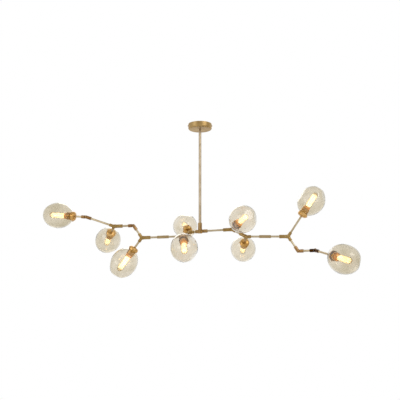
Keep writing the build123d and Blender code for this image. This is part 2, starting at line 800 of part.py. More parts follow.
# Shade: the inside first, then the outside with the inside cut from it
with BuildPart() as shade_hollow:
    with BuildSketch(Plane.XZ):
        with BuildLine():
            mouth_angle = degrees(acos(neck_inner / (shade_radius - shade_wall)))
            inside = EllipticalCenterArc(
                (0, shade_centre),
                shade_radius - shade_wall,
                shade_half_length - shade_wall,
                -mouth_angle,
                arc_size=90 + mouth_angle,
            )
            Polyline(inside @ 1, (0, cup_plate), (neck_inner, cup_plate), inside @ 0)
        make_face()
    revolve(axis=Axis.Z)
    for turn, tilt in zip(flat_turns, flat_tilts):
        split(bisect_by=pressed_plane(turn, tilt, flat_depth + shade_wall), keep=Keep.BOTTOM)
with BuildPart() as shade_blank:
    with BuildSketch(Plane.XZ):
        with BuildLine():
            neck_angle = degrees(acos(neck_radius / shade_radius))
            outside = EllipticalCenterArc(
                (0, shade_centre), shade_radius, shade_half_length, -neck_angle, arc_size=90 + neck_angle
            )
            Polyline(outside @ 1, (0, cup_plate), (neck_radius, cup_plate), outside @ 0)
        make_face()
    revolve(axis=Axis.Z)
    for turn, tilt in zip(flat_turns, flat_tilts):
        split(bisect_by=pressed_plane(turn, tilt, flat_depth), keep=Keep.BOTTOM)
    add(shade_hollow.part, mode=Mode.SUBTRACT)


def save_at_heads(name, blank, numbers):
    """Copies of one blank, at the heads with these numbers, as one node."""
    with BuildPart() as copies:
        with Locations(*[head_planes[number].location for number in numbers]):
            add(blank.part)
    save(copies, name)


inner_heads = ("4", "5", "6", "7")
save_at_heads("inner_cups", cup_blank, inner_heads)
save_at_heads("inner_lampholders", lampholder_blank, inner_heads)
save_at_heads("inner_bulbs", bulb_blank, inner_heads)
for number in head_places:
    save_at_heads(f"shade_{number}", shade_blank, (number,))
    if number not in inner_heads:
        save_at_heads(f"cup_{number}", cup_blank, (number,))
        save_at_heads(f"lampholder_{number}", lampholder_blank, (number,))
        save_at_heads(f"bulb_{number}", bulb_blank, (number,))

# Places and axes of the joints, for the record
print("stem_turn", Vector(0, 0, rod_top), Vector(0, 0, 1))
print("right_twist", right_coupling, right_bar_way)
print("left_twist", left_coupling, left_bar_way)
for name, (pivot, way_in, way_out, axis) in knuckles.items():
    print(name, pivot, axis)
for number, (base, way) in head_places.items():
    print("head", number, base, way)
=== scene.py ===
import json
import math

import bmesh
import bpy
import numpy as np
from mathutils import Matrix, Vector

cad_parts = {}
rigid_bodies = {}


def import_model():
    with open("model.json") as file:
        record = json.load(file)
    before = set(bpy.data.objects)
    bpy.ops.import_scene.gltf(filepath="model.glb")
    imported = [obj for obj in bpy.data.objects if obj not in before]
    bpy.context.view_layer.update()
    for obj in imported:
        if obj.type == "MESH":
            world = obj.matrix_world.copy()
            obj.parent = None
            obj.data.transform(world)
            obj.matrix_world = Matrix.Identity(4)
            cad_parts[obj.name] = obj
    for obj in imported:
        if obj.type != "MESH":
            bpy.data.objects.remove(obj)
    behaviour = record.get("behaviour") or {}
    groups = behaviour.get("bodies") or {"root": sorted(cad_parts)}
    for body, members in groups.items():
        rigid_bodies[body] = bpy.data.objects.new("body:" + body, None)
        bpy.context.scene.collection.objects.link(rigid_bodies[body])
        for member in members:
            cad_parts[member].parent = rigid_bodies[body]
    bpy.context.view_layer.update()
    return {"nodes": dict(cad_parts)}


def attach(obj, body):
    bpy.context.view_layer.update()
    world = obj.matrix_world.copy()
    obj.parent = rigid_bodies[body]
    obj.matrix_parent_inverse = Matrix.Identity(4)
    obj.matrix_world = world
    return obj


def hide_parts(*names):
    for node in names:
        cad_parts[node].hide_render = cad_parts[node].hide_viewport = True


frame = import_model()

nodes = frame["nodes"]
print("frame loaded:", len(nodes), "nodes")


# colours are written as 0 to 255 display values
def tone(red, green, blue):
    def linear(value):
        share = value / 255
        return share / 12.92 if share <= 0.04045 else ((share + 0.055) / 1.055) ** 2.4

    return (linear(red), linear(green), linear(blue), 1.0)


def feed(tree, value, socket):
    if isinstance(value, Sock):
        tree.links.new(value.socket, socket)
    else:
        socket.default_value = value


class Sock:
    def __init__(self, tree, socket):
        self.tree = tree
        self.socket = socket

    def maths(self, operation, other, swap=False):
        made = self.tree.nodes.new("ShaderNodeMath")
        made.operation = operation
        pair = (other, self) if swap else (self, other)
        for value, socket in zip(pair, made.inputs):
            feed(self.tree, value, socket)
        return Sock(self.tree, made.outputs[0])

    def __add__(self, other):
        return self.maths("ADD", other)

    def __sub__(self, other):
        return self.maths("SUBTRACT", other)

    def __rsub__(self, other):
        return self.maths("SUBTRACT", other, True)

    def __mul__(self, other):
        return self.maths("MULTIPLY", other)

    __radd__ = __add__
    __rmul__ = __mul__


# a node tree in the making: node() takes a type, its settings and its sockets' values or links
class Finish:
    def __init__(self, tree):
        tree.nodes.clear()
        self.tree = tree

    def make(self, kind, settings=None, sockets=None):
        made = self.tree.nodes.new(kind)
        for key, value in (settings or {}).items():
            if key == "stops":
                elements = made.color_ramp.elements
                while len(elements) < len(value):
                    elements.new(0.5)
                for element, (place, colour) in zip(elements, value):
                    element.position = place
                    element.color = colour
            else:
                setattr(made, key, value)
        for key, value in (sockets or {}).items():
            feed(self.tree, value, made.inputs[key])
        return made

    def node(self, kind, settings=None, sockets=None, out=0):
        return Sock(self.tree, self.make(kind, settings, sockets).outputs[out])

    def noise(self, where, scale, detail):
        return self.node("ShaderNodeTexNoise", None, {"Vector": where, "Scale": scale, "Detail": detail})

    def ramp(self, value, *stops):
        return self.node("ShaderNodeValToRGB", {"stops": stops}, {"Fac": value})

    def bump(self, height, strength, distance):
        sockets = {"Height": height, "Strength": strength, "Distance": distance}
        return self.node("ShaderNodeBump", None, sockets)

    def principled(self, sockets):
        return self.node("ShaderNodeBsdfPrincipled", None, sockets)


def newFinish(name):
    material = bpy.data.materials.new(name)
    material.use_nodes = True
    return material, Finish(material.node_tree)


brassGrain = {
    "cloudScale": 22.0, "grainScale": 1800.0, "cloudShare": 0.85, "grainShare": 0.15,
    "cloudRough": 0.16, "grainRough": 0.05, "roughDrop": 0.10, "scratch": 0.05, "scratchDepth": 0.0001,
}


# satin brass: slow lacquer clouds, fine turned grain, a slightly uneven polish
def brass(name, dark, middle, light, rough):
    look = brassGrain
    material, f = newFinish(name)
    where = f.node("ShaderNodeTexCoord", None, None, "Object")
    cloud = f.noise(where, look["cloudScale"], 3.0)
    grain = f.noise(where, look["grainScale"], 2.0)
    blend = cloud * look["cloudShare"] + grain * look["grainShare"]
    polish = cloud * look["cloudRough"] + grain * look["grainRough"] + (rough - look["roughDrop"])
    surface = f.principled({
        "Base Color": f.ramp(blend, (0.30, tone(*dark)), (0.50, tone(*middle)), (0.70, tone(*light))),
        "Metallic": 1.0,
        "Roughness": polish,
        "Normal": f.bump(grain, look["scratch"], look["scratchDepth"]),
    })
    f.make("ShaderNodeOutputMaterial", None, {"Surface": surface})
    return material


# one brass in lighter and darker copies: the hub's and yokes' darker tones are painted shade for darker
# reflections, the tubes' paler tone is partly a polished finish and partly a painted reflection of the white
# surround, and the cups' brighter gold is partly painted light from the bulbs
brassLooks = {  # dark, middle and light tone, roughness
    "canopyBrass": ((150, 121, 74), (170, 141, 92), (189, 163, 117), 0.42),
    "rodBrass": ((160, 143, 117), (177, 160, 135), (190, 174, 152), 0.32),
    "tubeBrass": ((168, 150, 116), (187, 170, 139), (202, 189, 162), 0.26),
    "hubBrass": ((135, 102, 60), (161, 130, 85), (179, 152, 109), 0.30),
    "yokeBrass": ((132, 102, 54), (156, 126, 74), (174, 148, 99), 0.30),
    "sleeveBrass": ((140, 116, 75), (160, 136, 95), (178, 156, 118), 0.28),
    "knuckleBrass": ((130, 93, 54), (155, 118, 75), (174, 140, 99), 0.30),
    "tipBrass": ((112, 78, 42), (137, 102, 60), (157, 123, 82), 0.30),
    # a near-black copy of the knuckle brass for the right tip: painted shade
    "paintedShadeBrass": ((52, 27, 3), (75, 44, 6), (99, 63, 14), 0.30),
    "cupBrass": ((174, 130, 69), (197, 154, 90), (216, 176, 117), 0.28),
    "screwBrass": ((126, 96, 54), (152, 122, 76), (174, 146, 100), 0.30),
}
brasses = {name: brass(name, *look) for name, look in brassLooks.items()}


steelLook = {
    "dark": (150, 150, 148), "light": (196, 196, 192), "bloomScale": 90.0,
    "rough": 0.28, "roughSwing": 0.2, "dimple": 0.08, "dimpleDepth": 0.0003,
}


# zinc-plated steel with a faint bloom: the bar and the lock nut above the canopy
def platedSteel(look):
    material, f = newFinish("platedSteel")
    where = f.node("ShaderNodeTexCoord", None, None, "Object")
    bloom = f.noise(where, look["bloomScale"], 4.0)
    surface = f.principled({
        "Base Color": f.ramp(bloom, (0.3, tone(*look["dark"])), (0.7, tone(*look["light"]))),
        "Metallic": 1.0,
        "Roughness": look["rough"] + bloom * look["roughSwing"],
        "Normal": f.bump(bloom, look["dimple"], look["dimpleDepth"]),
    })
    f.make("ShaderNodeOutputMaterial", None, {"Surface": surface})
    return material


mouldedLook = {"swirlScale": 60.0, "pitScale": 1400.0, "roughSwing": 0.12, "pit": 0.12, "pitDepth": 0.0003}


# moulded pieces: the lampholders' amber, brightened and given a faint emission as painted glow from the bulb,
# and the terminal block's ivory
def moulded(name, dark, light, rough, paintedGlow=0.0):
    look = mouldedLook
    material, f = newFinish(name)
    where = f.node("ShaderNodeTexCoord", None, None, "Object")
    swirl = f.noise(where, look["swirlScale"], 4.0)
    pits = f.noise(where, look["pitScale"], 1.0)
    colour = f.ramp(swirl, (0.3, tone(*dark)), (0.7, tone(*light)))
    surface = f.principled({
        "Base Color": colour,
        "Emission Color": colour,
        "Emission Strength": paintedGlow,
        "Roughness": rough + swirl * look["roughSwing"],
        "Normal": f.bump(pits, look["pit"], look["pitDepth"]),
    })
    f.make("ShaderNodeOutputMaterial", None, {"Surface": surface})
    return material


shadeGlassLook = {
    "clear": (249, 244, 234), "smoke": (232, 226, 210), "hazeScale": 18.0, "hazeGain": 1.1,
    "hazeOutwards": 0.5, "hazeDrop": 0.30, "rippleScale": 26.0, "ripple": 0.20, "rippleDepth": 0.004,
    "ior": 1.45, "shine": 0.25, "absorb": (0.50, 0.47, 0.38, 1.0), "density": 74.0,
}


# hand-blown glass: slow ripples and a faint smoke, a little deeper out along the arms
def shadeGlass(look):
    material, f = newFinish("shadeGlass")
    where = f.node("ShaderNodeTexCoord", None, None, "Object")
    axes = f.make("ShaderNodeSeparateXYZ", None, {"Vector": where})
    outwards = Sock(f.tree, axes.outputs["X"]).maths("ABSOLUTE", 0.0)
    haze = f.noise(where, look["hazeScale"], 2.0) * look["hazeGain"]
    haze = haze + outwards * look["hazeOutwards"] - look["hazeDrop"]
    wave = f.noise(where, look["rippleScale"], 1.5)
    surface = f.principled({
        "Base Color": f.ramp(haze, (0.35, tone(*look["clear"])), (0.70, tone(*look["smoke"]))),
        "Roughness": 0.0,
        "IOR": look["ior"],
        "Specular IOR Level": look["shine"],
        "Transmission Weight": 1.0,
        "Normal": f.bump(wave, look["ripple"], look["rippleDepth"]),
    })
    inside = f.node("ShaderNodeVolumeAbsorption", None, {"Color": look["absorb"], "Density": look["density"]})
    f.make("ShaderNodeOutputMaterial", None, {"Surface": surface, "Volume": inside})
    return material


bulbLook = {
    "amber": (255, 250, 238), "deep": (255, 242, 220), "absorb": (0.94, 0.68, 0.06, 1.0), "density": 60.0,
    "glowCool": (255, 247, 226), "glowWarm": (255, 230, 176), "rodStrength": 1.9, "paintedMountStrength": 1.6,
    "rough": 0.30, "ior": 1.40, "stainScale": 40.0, "phosphorScale": 300.0, "phosphorRough": 0.5,
}


# amber glass, deepest at the edges, where the eye looks along the wall
def bulbGlass(look):
    material, f = newFinish("bulbGlass")
    where = f.node("ShaderNodeTexCoord", None, None, "Object")
    stain = f.noise(where, look["stainScale"], 2.0)
    surface = f.principled({
        "Base Color": f.ramp(stain, (0.3, tone(*look["amber"])), (0.7, tone(*look["deep"]))),
        "Roughness": look["rough"],
        "IOR": look["ior"],
        "Transmission Weight": 1.0,
    })
    inside = f.node("ShaderNodeVolumeAbsorption", None, {"Color": look["absorb"], "Density": look["density"]})
    f.make("ShaderNodeOutputMaterial", None, {"Surface": surface, "Volume": inside})
    return material


# the glowing pieces: the rods' warm phosphor, a little uneven from grain to grain, and the glass mount, whose
# glow is painted light from the rods
def lit(name, look, strength):
    material, f = newFinish(name)
    where = f.node("ShaderNodeTexCoord", None, None, "Object")
    grain = f.noise(where, look["phosphorScale"], 2.0)
    colour = f.ramp(grain, (0.3, tone(*look["glowWarm"])), (0.6, tone(*look["glowCool"])))
    surface = f.principled({
        "Base Color": colour,
        "Roughness": look["phosphorRough"],
        "Emission Color": colour,
        "Emission Strength": strength,
    })
    f.make("ShaderNodeOutputMaterial", None, {"Surface": surface})
    return material


glassFinish = shadeGlass(shadeGlassLook)
envelopeFinish = bulbGlass(bulbLook)
rodFinish = lit("filamentGlow", bulbLook, bulbLook["rodStrength"])
# the glass mount is no lamp: its glow is painted light from the rods around it
paintedMountFinish = lit("paintedMountGlow", bulbLook, bulbLook["paintedMountStrength"])
steelFinish = platedSteel(steelLook)
# the lampholders' brighter amber and their emission are painted glow from the bulb
holderFinish = moulded("lampholderAmber", (232, 158, 72), (246, 186, 100), 0.30, 0.22)
blockFinish = moulded("terminalIvory", (206, 202, 188), (228, 226, 216), 0.45)
print("materials made:", len(bpy.data.materials))


# where the arms run, in millimetres: start, length, turn about Z from +X, rise above level
hubPoint = Vector((0, 0, -548))
armRuns = {
    "rightNear": ("hub", 157, -6, 3),
    "rightFar": ("rightNear", 92, -39, -24),
    "rightSplit": ("rightFar", 201, -2, 0),
    "rightElbow": ("rightSplit", 83, -18, -57),
    "rightKnuckle": ("rightElbow", 83, -32, 2),
    "leftNear": ("hub", 54, 175, -6),
    "leftFar": ("leftNear", 73, -112, -17),
    "leftSplit": ("leftFar", 203, 177, -2),
    "leftElbow": ("leftSplit", 72, -179, 55),
    "leftSide": ("leftElbow", 95, 180, -2),
    "leftKnuckle": ("leftSide", 154, 168, 18),
    "head1": ("leftKnuckle", 64, 172, 4),
    "head2": ("leftSide", 66, 113, -25),
    "head3": ("leftSplit", 63, 180, -55),
    "head4": ("leftNear", 40, 102, 19),
    "head5": ("leftFar", 34, -86, -29),
    "head6": ("rightNear", 66, -73, 15),
    "head7": ("rightFar", 74, 90, -21),
    "head8": ("rightSplit", 123, -2, 56),
    "head9": ("rightKnuckle", 138, -73, -10),
}
headTurns = {1: 20, 2: 75, 3: 140, 4: 10, 5: 200, 6: 100, 7: 40, 8: 250, 9: 310}
headBodies = {1: "left_tip", 2: "left_arm", 3: "left_branch", 4: "stem", 5: "stem",
              6: "stem", 7: "stem", 8: "right_branch", 9: "right_tip"}
stemHeads = (4, 5, 6, 7)
mm = 0.001


def heading(turn, rise):
    t, r = math.radians(turn), math.radians(rise)
    return Vector((math.cos(t) * math.cos(r), math.sin(t) * math.cos(r), math.sin(r)))


places, ways = {"hub": hubPoint}, {"hub": Vector((0, 0, 1))}
for runName, (runStart, runLength, runTurn, runRise) in armRuns.items():
    ways[runName] = heading(runTurn, runRise)
    places[runName] = places[runStart] + ways[runName] * runLength


# a direction across a line, the one that the solids were drawn from
def across(way):
    x, y, z = way
    a, b, c = abs(x), abs(y), abs(z)
    if b <= a and b <= c:
        side = Vector((-z, 0, x)) if a > c else Vector((z, 0, -x))
    elif a <= b and a <= c:
        side = Vector((0, -z, y)) if b > c else Vector((0, z, -y))
    else:
        side = Vector((-y, x, 0)) if a > b else Vector((y, -x, 0))
    return side.normalized()


def headMatrix(number):
    way = ways[f"head{number}"]
    side = Matrix.Rotation(math.radians(headTurns[number]), 3, way) @ across(way)
    turned = Matrix((side, way.cross(side), way)).transposed().to_4x4()
    return Matrix.Translation(places[f"head{number}"] * mm) @ turned @ Matrix.Scale(mm, 4)


# rings of points, each (radius, height), into a closed turned mesh; radius 0 is a pole
def turnedMesh(name, rings, segments, shape=None, smoothAngle=40):
    points, faces, rows = [], [], []
    for radius, height in rings:
        if radius == 0:
            rows.append([len(points)])
            points.append((0, 0, height))
            continue
        rows.append(list(range(len(points), len(points) + segments)))
        for step in range(segments):
            a = 2 * math.pi * step / segments
            points.append((radius * math.cos(a), radius * math.sin(a), height))
    for low, high in zip(rows, rows[1:]):
        for step in range(segments):
            after = (step + 1) % segments
            if len(low) == 1:
                faces.append((low[0], high[after], high[step]))
            elif len(high) == 1:
                faces.append((low[step], low[after], high[0]))
            else:
                faces.append((low[step], low[after], high[after], high[step]))
    if shape:
        points = shape(np.array(points, float), rows)
    mesh = bpy.data.meshes.new(name)
    mesh.from_pydata([tuple(p) for p in points], [], faces)
    mesh.shade_smooth()
    mesh.set_sharp_from_angle(angle=math.radians(smoothAngle))
    return mesh


# copies of a mesh at these heads, as one mesh in the shared frame
def atHeads(mesh, name, numbers):
    work = bmesh.new()
    for number in numbers:
        copy = mesh.copy()
        copy.transform(headMatrix(number))
        work.from_mesh(copy)
        bpy.data.meshes.remove(copy)
    placed = bpy.data.meshes.new(name)
    work.to_mesh(placed)
    work.free()
    for material in mesh.materials:
        placed.materials.append(material)
    return placed


def show(mesh, name, body, stands=()):
    piece = bpy.data.objects.new(name, mesh)
    bpy.context.scene.collection.objects.link(piece)
    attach(piece, body)
    if stands:
        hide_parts(*stands)
    return piece


# heads grouped as the solids are: the stem's four share a node
headGroups = [("Inner", stemHeads, "stem")]
headGroups += [(str(n), (n,), headBodies[n]) for n in headBodies if n not in stemHeads]


# the shade, in millimetres from the back of its cup: an egg on a short neck, pressed soft in places
shade = {
    "radius": 64.0, "halfLength": 76.0, "wall": 2.0, "neckInner": 19.1, "neckStart": 2.5, "neckEnd": 12.2,
    "presses": ((0, 8), (72, 34), (150, -12), (222, 30), (296, -4)), "pressDepth": 6.0, "soft": 1.3,
    "farPress": (30, 86), "farDepth": 6.0, "farSoft": 0.8, "pressFade": 20.0, "rings": 56, "segments": 120,
    "wobble": 0.35, "wobbleFade": 25.0, "longWave": 23.0, "shortWave": 17.0, "lipRound": 0.5, "lipRise": 0.8,
    "neckRun": 3.0, "smoothAngle": 60,
}
shade["centre"] = shade["neckEnd"] + shade["halfLength"] * math.sqrt(
    1 - ((shade["neckInner"] + shade["wall"]) / shade["radius"]) ** 2)


def eggRings(radius, halfLength, neckRadius):
    start = -math.acos(neckRadius / radius)
    rings = []
    for step in range(shade["rings"]):
        a = start + (math.pi / 2 - start) * step / shade["rings"]
        rings.append((radius * math.cos(a), shade["centre"] + halfLength * math.sin(a)))
    return rings + [(0, shade["centre"] + halfLength)]


def pressed(points, inset):
    middle = np.array((0, 0, shade["centre"]))
    presses = [(*press, shade["pressDepth"], shade["soft"]) for press in shade["presses"]]
    presses.append((*shade["farPress"], shade["farDepth"], shade["farSoft"]))
    for turn, tilt, depth, soft in presses:
        way = np.array(heading(turn, tilt))
        t = math.radians(tilt)
        reach = math.hypot(shade["radius"] * math.cos(t), shade["halfLength"] * math.sin(t))
        over = (points - middle) @ way - (reach - depth - inset)
        give = soft * np.logaddexp(0, over / soft)
        give *= np.clip((points[:, 2] - shade["neckEnd"]) / shade["pressFade"], 0, 1)
        points = points - give[:, None] * way
    return points


def shadeMesh(number):
    wall, inner = shade["wall"], shade["neckInner"]
    outer = inner + wall
    inside = eggRings(shade["radius"] - wall, shade["halfLength"] - wall, inner)
    outside = eggRings(shade["radius"], shade["halfLength"], outer)
    start, curl, rise = shade["neckStart"], shade["lipRound"], shade["lipRise"]
    lip = [(inner, start + rise), (inner + curl, start), (outer - curl, start), (outer, start + rise)]
    neck = shade["neckEnd"] - shade["neckRun"]
    rings = inside[::-1] + [(inner, neck)] + lip + [(outer, neck)] + outside

    def blow(points, rows):
        inCount = sum(len(row) for row in rows[:len(inside) + 1])
        inset = np.where(np.arange(len(points)) < inCount, wall, 0.0)
        points = pressed(points, inset)
        a = np.arctan2(points[:, 1], points[:, 0])
        wave = np.sin(2 * a + number) * np.sin(points[:, 2] / shade["longWave"] + 1.7 * number)
        wave += 0.6 * np.sin(3 * a - 0.7 * number) * np.cos(points[:, 2] / shade["shortWave"] - number)
        fade = np.clip((points[:, 2] - shade["neckEnd"]) / shade["wobbleFade"], 0, 1)
        r = np.hypot(points[:, 0], points[:, 1])
        fade *= np.clip(r / shade["wobbleFade"], 0, 1)
        swell = 1 + shade["wobble"] * (wave - 0.8) * fade / np.maximum(r, 1)
        points[:, :2] *= swell[:, None]
        return points

    mesh = turnedMesh(f"shadeGlass{number}", rings, shade["segments"], blow, shade["smoothAngle"])
    mesh.materials.append(glassFinish)
    return mesh


for number, body in headBodies.items():
    name = f"glassShade{number}"
    show(atHeads(shadeMesh(number), name, (number,)), name, body, (f"shade_{number}",))
print("shades blown:", len(headBodies))


# the bulb, in millimetres from the back of its cup: a thin amber tube with a domed end, on a threaded
# cap, with a mount and a ring of glowing rods inside
bulb = {
    "seat": 20.0, "capEnd": 48.0, "tip": 130.0, "glassRadius": 14.0, "capRadius": 13.0, "wall": 1.0,
    "shoulder": 4.0, "straightSteps": 6, "domeSteps": 12, "threadPitch": 3.6, "threadDepth": 0.7,
    "threadSteps": 42, "segments": 48, "mountRadius": 4.2, "mountEnd": 106.0, "mountSegments": 24,
    "rodCount": 8, "rodRadius": 2.0, "rodRing": 10.2, "rodStart": 54.0, "rodLength": 62.0, "rodSides": 12,
}


def bulbProfile(inset):
    r, neck = bulb["glassRadius"] - inset, bulb["capRadius"] - inset
    top, dome = bulb["tip"] - inset, bulb["tip"] - bulb["glassRadius"]
    start = bulb["capEnd"] + bulb["shoulder"]
    rings = [(neck - 0.6, bulb["capEnd"] - 1.0), (neck, bulb["capEnd"] + 0.6)]
    steps, turns = bulb["straightSteps"], bulb["domeSteps"]
    rings += [(r, start + (dome - start) * k / steps) for k in range(steps + 1)]
    for k in range(1, turns):
        a = k * math.pi / (2 * turns)
        rings.append((r * math.cos(a), dome + (top - dome) * math.sin(a)))
    return rings + [(0, top)]


def envelopeMesh():
    rings = bulbProfile(bulb["wall"])[::-1] + bulbProfile(0.0)
    mesh = turnedMesh("bulbEnvelope", rings, bulb["segments"])
    mesh.materials.append(envelopeFinish)
    return mesh


def capMesh():
    r, deep = bulb["capRadius"], bulb["threadDepth"]
    seat = bulb["seat"]
    rings = [(0, seat + 0.2), (4.5, seat + 0.2), (5.0, seat + 1.4), (9.0, seat + 2.4)]
    low, high, steps = seat + 4.0, bulb["capEnd"] - 5.0, bulb["threadSteps"]
    for k in range(steps + 1):
        z = low + (high - low) * k / steps
        wind = math.cos(2 * math.pi * (z - low) / bulb["threadPitch"])
        rings.append((r - deep * (0.5 + 0.5 * wind), z))
    end = bulb["capEnd"] - 1.0
    rings += [(r - 0.2, end - 3.0), (r - 0.2, end - 0.2), (r - 1.8, end), (0, end)]
    mesh = turnedMesh("bulbCap", rings, bulb["segments"])
    mesh.materials.append(brasses["screwBrass"])
    return mesh


def mountMesh():
    r, low, high = bulb["mountRadius"], bulb["capEnd"] - 0.8, bulb["mountEnd"]
    rings = [(0, low), (r * 1.9, low), (r * 1.7, low + 4), (r, low + 10), (r, high - 6), (r * 1.5, high - 3),
             (r * 1.5, high - 1.5), (r * 0.9, high), (0, high)]
    mesh = turnedMesh("bulbMount", rings, bulb["mountSegments"])
    mesh.materials.append(paintedMountFinish)
    return mesh


# a node group with named inputs, ending in Realize Instances and Set Material
class Growth:
    def __init__(self, name, inputs):
        self.group = bpy.data.node_groups.new(name, "GeometryNodeTree")
        face = self.group.interface
        face.new_socket("Geometry", in_out="INPUT", socket_type="NodeSocketGeometry")
        self.ids = {}
        for key, kind in inputs.items():
            self.ids[key] = face.new_socket(key, in_out="INPUT", socket_type=kind).identifier
        face.new_socket("Geometry", in_out="OUTPUT", socket_type="NodeSocketGeometry")
        self.start = self.group.nodes.new("NodeGroupInput")

    def make(self, kind, settings=None, links=None):
        made = self.group.nodes.new(kind)
        for key, value in (settings or {}).items():
            setattr(made, key, value)
        for key, value in (links or {}).items():
            if isinstance(value, bpy.types.NodeSocket):
                self.group.links.new(value, made.inputs[key])
            else:
                made.inputs[key].default_value = value
        return made

    def given(self, key):
        return self.start.outputs[key]

    def end(self, instances):
        real = self.make("GeometryNodeRealizeInstances", None, {"Geometry": instances})
        paint = self.make("GeometryNodeSetMaterial", None,
                          {"Geometry": real.outputs[0], "Material": self.given("Material")})
        self.make("NodeGroupOutput", None, {"Geometry": paint.outputs[0]})

    def grow(self, carrier, name, values):
        stand = bpy.data.objects.new(name, carrier)
        bpy.context.scene.collection.objects.link(stand)
        modifier = stand.modifiers.new(name, "NODES")
        modifier.node_group = self.group
        for key, value in values.items():
            modifier[self.ids[key]] = value
        bpy.context.view_layer.update()
        shown = stand.evaluated_get(bpy.context.evaluated_depsgraph_get())
        mesh = bpy.data.meshes.new_from_object(shown)
        mesh.name = name
        stand.modifiers.remove(modifier)
        bpy.data.objects.remove(stand)
        return mesh


# posts standing in a ring: the glowing rods of a bulb and the grip ribs of a lampholder
def postRing():
    g = Growth("postRing", {
        "Count": "NodeSocketInt", "Ring": "NodeSocketFloat", "Post": "NodeSocketFloat",
        "Length": "NodeSocketFloat", "Start": "NodeSocketFloat", "Sides": "NodeSocketInt",
        "Material": "NodeSocketMaterial"})
    ring = g.make("GeometryNodeMeshCircle", None, {"Vertices": g.given("Count"), "Radius": g.given("Ring")})
    post = g.make("GeometryNodeMeshCylinder", None,
                  {"Vertices": g.given("Sides"), "Radius": g.given("Post"), "Depth": g.given("Length")})
    half = g.make("ShaderNodeMath", {"operation": "MULTIPLY_ADD"},
                  {0: g.given("Length"), 1: 0.5, 2: g.given("Start")})
    lift = g.make("ShaderNodeCombineXYZ", None, {"Z": half.outputs[0]})
    up = g.make("GeometryNodeTransform", None,
                {"Geometry": post.outputs["Mesh"], "Translation": lift.outputs[0]})
    stood = g.make("GeometryNodeInstanceOnPoints", None,
                   {"Points": ring.outputs[0], "Instance": up.outputs[0]})
    g.end(stood.outputs[0])
    return g


posts = postRing()
emptyCarrier = bpy.data.meshes.new("carrier")
rodsMesh = posts.grow(emptyCarrier, "bulbRods", {
    "Count": bulb["rodCount"], "Ring": bulb["rodRing"], "Post": bulb["rodRadius"],
    "Length": bulb["rodLength"], "Start": bulb["rodStart"], "Sides": bulb["rodSides"], "Material": rodFinish})
holder = {"rimStart": 38.6, "rimEnd": 47.4, "ribRing": 15.3, "ribCount": 28, "ribRadius": 0.55, "ribSides": 8}
ribsMesh = posts.grow(emptyCarrier, "lampholderRibs", {
    "Count": holder["ribCount"], "Ring": holder["ribRing"], "Post": holder["ribRadius"],
    "Length": holder["rimEnd"] - holder["rimStart"], "Start": holder["rimStart"],
    "Sides": holder["ribSides"], "Material": holderFinish})

envelope, cap, mount = envelopeMesh(), capMesh(), mountMesh()
for label, numbers, body in headGroups:
    node = "inner_bulbs" if label == "Inner" else f"bulb_{label}"
    for mesh, kind, slot, stands in (
            (envelope, "bulbEnvelope", "bulb_glass", (node,)),
            (cap, "bulbCap", "screw_brass", ()),
            (mount, "bulbMount", "bulb_glass", ()),
            (rodsMesh, "bulbRods", "bulb_glass", ()),
            (ribsMesh, "lampholderRibs", "lampholder", ())):
        show(atHeads(mesh, kind + label, numbers), kind + label, body, stands)
print("bulbs and lampholders made for", len(headGroups), "groups")


# small socket screws, one in each collar, looking down from the arm
collarScrew = {"radius": 1.5, "depth": 1.6, "proud": 0.4, "key": 0.8, "keyDepth": 0.9, "inFromEnd": 7.0,
               "sides": 20, "leastTurn": 0.3}
collars = {  # yoke: body and its collars, each a run, the way along it, radius and length
    "hub": ("stem", (("hub", 1, 10.0, 42), ("rightNear", 1, 8.5, 38), ("leftNear", 1, 8.5, 24))),
    "rightNear": ("stem", (("rightNear", -1, 8.5, 42), ("rightFar", 1, 7.5, 24), ("head6", 1, 7.5, 24))),
    "rightFar": ("stem", (("rightFar", -1, 8.5, 38), ("rightSplit", 1, 7.5, 24), ("head7", 1, 7.5, 24))),
    "leftNear": ("stem", (("leftNear", -1, 7.5, 24), ("leftFar", 1, 7.5, 24), ("head4", 1, 7.5, 24))),
    "leftFar": ("stem", (("leftFar", -1, 7.5, 24), ("leftSplit", 1, 7.5, 24), ("head5", 1, 7.5, 24))),
    "rightSplit": ("right_branch", (("rightSplit", -1, 8.5, 42), ("head8", 1, 7.5, 24),
                                    ("rightElbow", 1, 7.5, 24))),
    "leftSplit": ("left_branch", (("leftSplit", -1, 8.5, 42), ("head3", 1, 7.5, 24),
                                  ("leftElbow", 1, 7.5, 24))),
    "leftSide": ("left_arm", (("leftSide", -1, 8.5, 42), ("leftKnuckle", 1, 7.5, 24), ("head2", 1, 7.5, 24))),
}


